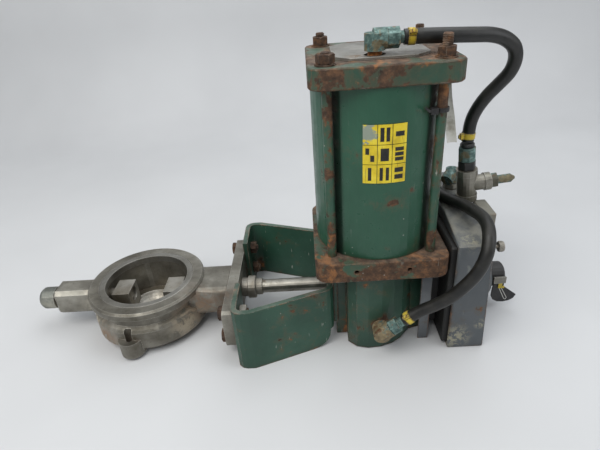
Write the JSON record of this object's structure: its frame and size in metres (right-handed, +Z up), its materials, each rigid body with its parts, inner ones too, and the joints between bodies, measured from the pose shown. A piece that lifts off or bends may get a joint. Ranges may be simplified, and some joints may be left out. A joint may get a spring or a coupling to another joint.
{
  "type": "rotary pneumatic actuator",
  "caption": "Double-acting pneumatic cylinder that turns a valve stem through a lever, with yoke, segment ball valve, positioner and two air hoses.",
  "frame": {"origin": "centre of the object's outline on the floor, under the valve stem, hoses left out", "axes": "+X along the valve stem from the valve to the positioner, +Z up along the cylinder"},
  "size_m": [0.7774, 0.2704, 0.4458],
  "materials": {
    "stainless_cast": "cast, grey, with cream and brown deposits",
    "stainless_bright": "machined",
    "green_paint": "semi-gloss, chipped, scratched and rusty at the edges",
    "rusty_paint": "green paint largely rusted through",
    "rusty_steel": "rusty",
    "brass": "dull",
    "corroded_brass": "blue-green corrosion",
    "grey_paint": "blue-grey, dusty, stained",
    "beige_paint": "matt",
    "black_plastic": "matt",
    "black_metal": "dark, worn",
    "rubber_hose": "dusty",
    "black_rubber": "smooth",
    "yellow_label": "worn",
    "paper": "creased paper tag"
  },
  "bodies": {
    "root": {"valve_body": "stainless_cast", "face_ring": "stainless_bright", "seat_ring": "stainless_bright", "trunnion_cap": "stainless_bright", "packing_follower": "stainless_bright", "flange_bolt_1": "rusty_steel", "flange_bolt_2": "rusty_steel", "flange_bolt_3": "rusty_steel", "flange_bolt_4": "rusty_steel", "bracket_front": "green_paint", "bracket_rear": "green_paint", "linkage_housing": "green_paint", "housing_cover": "green_paint", "cylinder_base": "rusty_paint", "rod_bearing": "brass", "barrel": "green_paint", "cylinder_end": "rusty_paint", "end_plate": "stainless_bright", "tie_rod_1": "green_paint", "tie_rod_2": "green_paint", "tie_rod_3": "green_paint", "tie_rod_4": "green_paint", "positioner_cover": "grey_paint", "positioner_base": "black_plastic", "positioner_yoke": "black_metal", "mount_channel": "grey_paint", "shaft_boss": "grey_paint", "side_block": "beige_paint", "thumb_screw": "stainless_bright", "hose_upper": "rubber_hose", "hose_lower": "rubber_hose", "pipe_tee": "stainless_cast", "riser_nut": "black_metal", "riser_adapter": "corroded_brass", "riser_tail": "black_metal", "branch_bush": "black_metal", "test_nipple": "corroded_brass", "top_elbow": "corroded_brass", "top_tail": "corroded_brass", "lower_elbow": "brass", "lower_tail": "corroded_brass", "port_elbow": "corroded_brass", "port_nut": "beige_paint", "rear_elbow": "brass", "rear_tail": "brass", "label_tiles": "yellow_label", "cable_tie": "black_plastic", "paper_tag": "paper"},
    "stem": {"ball_segment": "stainless_bright", "trunnion_pin": "stainless_bright", "valve_stem": "stainless_bright", "positioner_shaft": "black_metal", "lever": "black_metal", "indicator_knob": "black_plastic", "indicator_band": "stainless_bright", "indicator_flag": "black_plastic"},
    "piston": {"piston": "black_metal", "piston_seal": "black_rubber", "piston_rod": "stainless_bright", "crosshead": "black_metal"}
  },
  "joints": [
    {"name": "stem_turn", "type": "hinge", "parent": "root", "child": "stem", "pos_m": [0, 0, 0.054], "axis": [-1, 0, 0], "range_deg": [0, 90]},
    {"name": "piston_slide", "type": "slide", "parent": "root", "child": "piston", "axis": [0, 0, 1], "range_m": [0, 0.0623]}
  ],
  "couplings": [
    {"joint": "piston_slide", "follows": "stem_turn", "m_per_rad": 0.039614}
  ]
}
